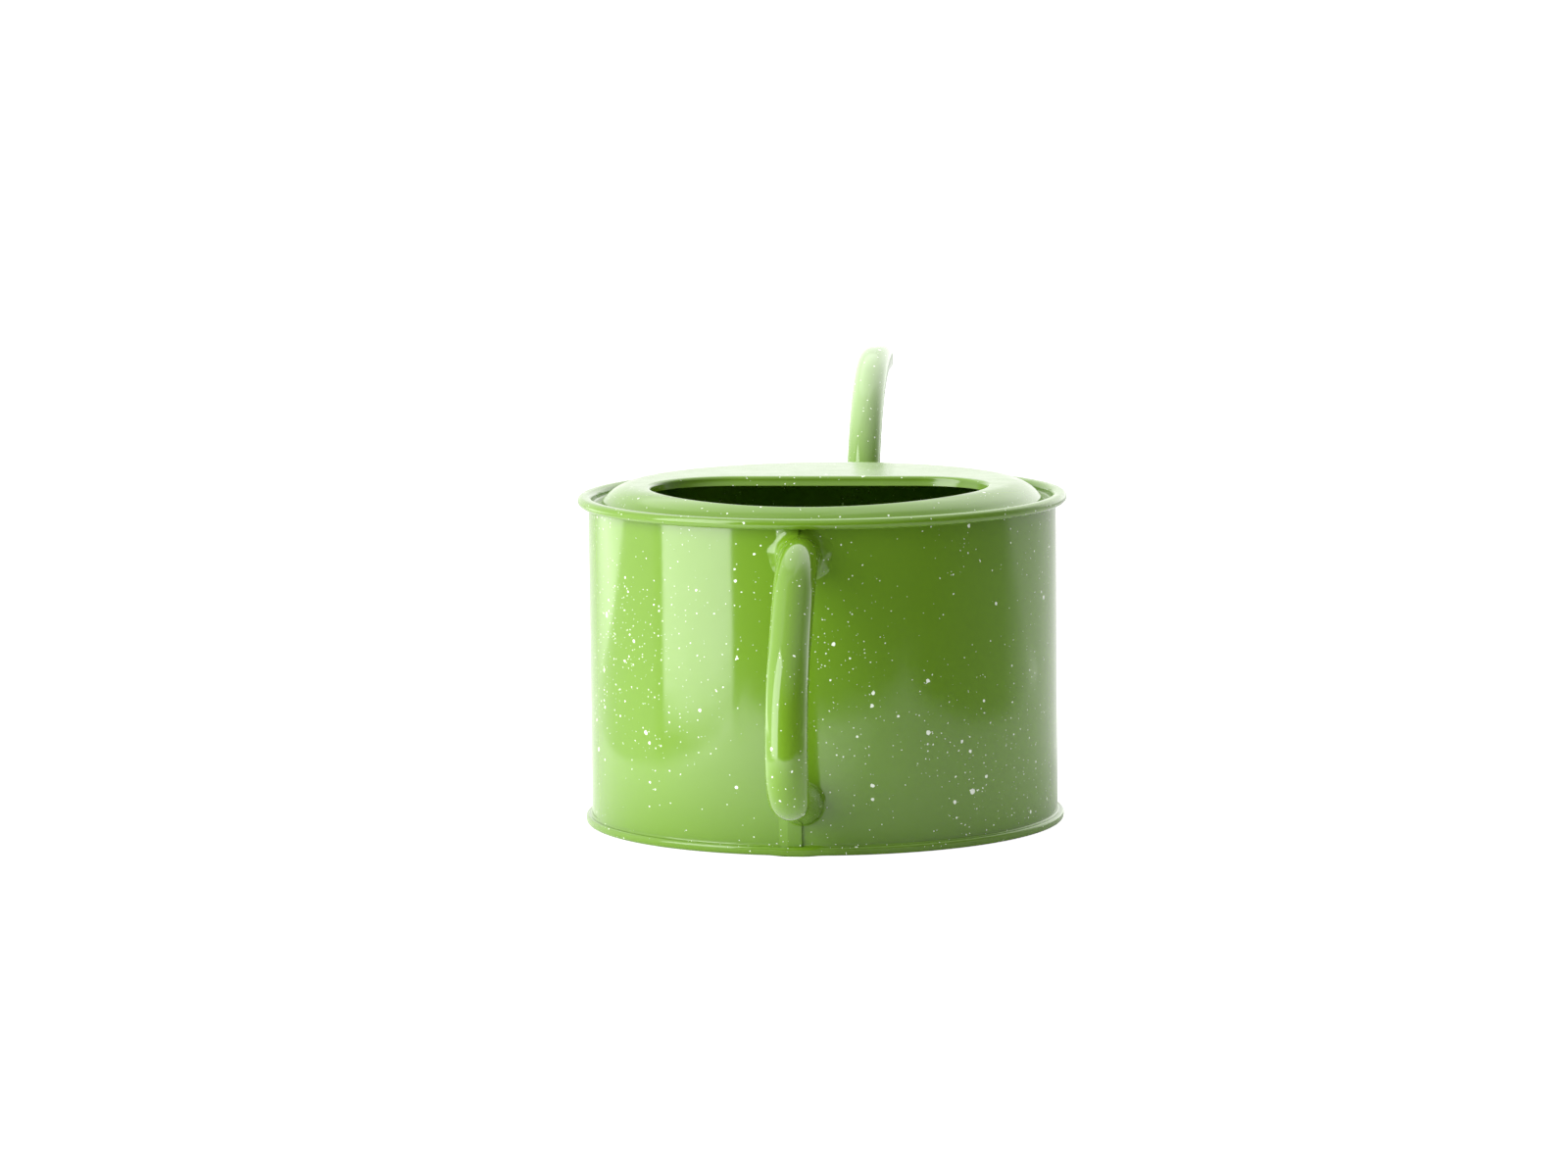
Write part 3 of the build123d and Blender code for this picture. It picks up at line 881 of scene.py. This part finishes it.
studio = {
    # in metres, the table's edges and the y behind which the white paper is as wide as the room
    "tableFront": -0.36,
    "tableLeft": -0.22,
    "tableRight": 0.33,
    "paper": 0.25,
    "floorSize": 14.0,
    "floorColour": (0.8, 0.8, 0.8, 1),
    "tableGlow": (2.3, 0.0),  # on the softbox's side and on the other side
    "glowEdges": (-0.34, -0.08),  # of x + glowTurn y
    "glowTurn": 0.8,
    # brightness of the room's walls, by the angle round the can from the handle's side
    "room": [(-180, 1.5), (-160, 1.4), (-138, 1.5), (-120, 1.3), (-88, 1.9), (-78, 0.8), (-40, 0.45),
             (-15, 0.12), (58, 0.1), (104, 0.38), (124, 1.15), (140, 2.4), (160, 2.5), (180, 1.5)],
    "ceiling": 1.05,
    "ceilingEdges": (0.35, 0.9),  # sines of the elevation
    "overhead": 2.3,  # a wide lamp, high up beyond the spout
    "overheadPlace": (-0.14, 0.6, 0.79),
    "overheadEdges": (0.86, 0.92),  # cosines of the angle from its middle
    "softboxPower": 29.5,
    "softboxSize": (0.82, 1.8),
    "softboxDistance": 1.15,
    "softboxTurn": -58.0,  # degrees from the handle's side
    "softboxBottom": -0.115,
}
# angles in degrees, places in metres, lens and sensor in millimetres
view = {
    "azimuth": 5.6,
    "elevation": 7.02,
    "roll": -0.6,
    "distance": 2.1,
    "height": 0.075,
    "across": -0.0125,
    "lens": 150.2,
    "sensor": 36,
    "clip": (0.1, 50),
}


def buildFloor():
    half = studio["floorSize"] / 2
    mesh = bpy.data.meshes.new("floor")
    corners = [(-half, -half, 0), (half, -half, 0), (half, half, 0), (-half, half, 0)]
    mesh.from_pydata(corners, [], [(0, 1, 2, 3)])
    floor = bpy.data.objects.new("floor", mesh)
    bpy.context.scene.collection.objects.link(floor)
    material = bpy.data.materials.new("paleFloor")
    material.use_nodes = True
    tree = material.node_tree
    shader = tree.nodes["Principled BSDF"]
    shader.inputs["Base Color"].default_value = studio["floorColour"]
    shader.inputs["Roughness"].default_value = 0.9
    shader.inputs["Specular IOR Level"].default_value = 0.0
    shader.inputs["Emission Color"].default_value = (1, 1, 1, 1)
    # the table's top lights the can; the far floor only shows to the camera
    place = addNode(tree, "ShaderNodeTexCoord").outputs["Object"]
    xyz = addNode(tree, "ShaderNodeSeparateXYZ", Vector=place)
    across = mathNode(tree, "MULTIPLY_ADD", xyz.outputs[1], studio["glowTurn"], xyz.outputs[0])
    glow = rangeNode(tree, across, studio["glowEdges"], studio["tableGlow"])
    inFront = mathNode(tree, "GREATER_THAN", xyz.outputs[1], studio["tableFront"])
    inLeft = mathNode(tree, "GREATER_THAN", xyz.outputs[0], studio["tableLeft"])
    inRight = mathNode(tree, "LESS_THAN", xyz.outputs[0], studio["tableRight"])
    table = mathNode(tree, "MULTIPLY", mathNode(tree, "MULTIPLY", inFront, inLeft), inRight)
    paper = mathNode(tree, "GREATER_THAN", xyz.outputs[1], studio["paper"])
    seen = addNode(tree, "ShaderNodeLightPath").outputs["Is Camera Ray"]
    tree.links.new(mathNode(tree, "MAXIMUM", glow, seen), shader.inputs["Emission Strength"])
    solid = mathNode(tree, "MAXIMUM", mathNode(tree, "MAXIMUM", table, paper), seen)
    clear = addNode(tree, "ShaderNodeBsdfTransparent")
    mix = addNode(tree, "ShaderNodeMixShader", Fac=solid, i1=clear.outputs[0], i2=shader.outputs[0])
    tree.links.new(mix.outputs[0], tree.nodes["Material Output"].inputs["Surface"])
    floor.data.materials.append(material)


# light from a direction is the brightest of three: the walls by the angle round the can, the
# ceiling by the elevation, and the lamp by the angle from its middle. The camera sees white
def buildWorld():
    world = bpy.data.worlds.new("studio")
    bpy.context.scene.world = world
    world.use_nodes = True
    tree = world.node_tree
    background = tree.nodes["Background"]
    direction = addNode(tree, "ShaderNodeTexCoord").outputs["Generated"]
    xyz = addNode(tree, "ShaderNodeSeparateXYZ", Vector=direction)
    towards = mathNode(tree, "MULTIPLY", xyz.outputs[1], -1.0)
    angle = mathNode(tree, "ARCTAN2", xyz.outputs[0], towards)
    place = mathNode(tree, "MULTIPLY_ADD", angle, 0.5 / math.pi, 0.5)
    ramp = addNode(tree, "ShaderNodeValToRGB", Fac=place)
    brightest = max(level for turn, level in studio["room"])
    while len(ramp.color_ramp.elements) < len(studio["room"]):
        ramp.color_ramp.elements.new(0.5)
    for element, (turn, level) in zip(ramp.color_ramp.elements, studio["room"]):
        element.position = 0.5 + turn / 360
        element.color = (level / brightest, level / brightest, level / brightest, 1)
    walls = mathNode(tree, "MULTIPLY", ramp.outputs[0], brightest)
    above = rangeNode(tree, xyz.outputs[2], studio["ceilingEdges"], (0.0, studio["ceiling"]), "SMOOTHSTEP")
    nearness = vectorNode(tree, "DOT_PRODUCT", direction, studio["overheadPlace"]).outputs["Value"]
    lamp = rangeNode(tree, nearness, studio["overheadEdges"], (0.0, studio["overhead"]), "SMOOTHSTEP")
    level = mathNode(tree, "MAXIMUM", mathNode(tree, "MAXIMUM", walls, above), lamp)
    seen = addNode(tree, "ShaderNodeLightPath").outputs["Is Camera Ray"]
    background.inputs["Color"].default_value = (1, 1, 1, 1)
    tree.links.new(mathNode(tree, "MAXIMUM", level, seen), background.inputs["Strength"])


def buildSoftbox():
    light = bpy.data.lights.new("softbox", "AREA")
    light.shape = "RECTANGLE"
    light.size, light.size_y = studio["softboxSize"]
    light.energy = studio["softboxPower"]
    box = bpy.data.objects.new("softbox", light)
    bpy.context.scene.collection.objects.link(box)
    turn, away = math.radians(studio["softboxTurn"]), studio["softboxDistance"]
    middle = studio["softboxBottom"] + studio["softboxSize"][1] / 2
    box.location = (math.sin(turn) * away, -math.cos(turn) * away, middle)
    box.rotation_euler = (math.radians(90), 0, turn)


# the camera looks along a line through the can's axis, turned by azimuth and elevation from the
# handle's side, and is moved across and up from there, then rolled
def buildCamera():
    azimuth, elevation, roll = (math.radians(view[key]) for key in ("azimuth", "elevation", "roll"))
    right = np.array([math.cos(azimuth), math.sin(azimuth), 0])
    look = np.array([-math.sin(azimuth) * math.cos(elevation), math.cos(azimuth) * math.cos(elevation),
                     -math.sin(elevation)])
    up = np.cross(right, look)
    eye = right * view["across"] + np.array([0, 0, view["height"]]) - look * view["distance"]
    columns = np.stack([
        math.cos(roll) * right + math.sin(roll) * up,
        -math.sin(roll) * right + math.cos(roll) * up,
        -look,
        eye,
    ], axis=1)
    matrix = np.vstack([columns, [0, 0, 0, 1]])
    lens = bpy.data.cameras.new("camera")
    lens.lens, lens.sensor_width = view["lens"], view["sensor"]
    lens.clip_start, lens.clip_end = view["clip"]
    camera = bpy.data.objects.new("camera", lens)
    bpy.context.scene.collection.objects.link(camera)
    camera.matrix_world = [list(row) for row in matrix.T]
    bpy.context.scene.camera = camera


buildFloor()
buildWorld()
buildSoftbox()
buildCamera()
bpy.context.scene.view_settings.view_transform = "Standard"
print("studio ready")
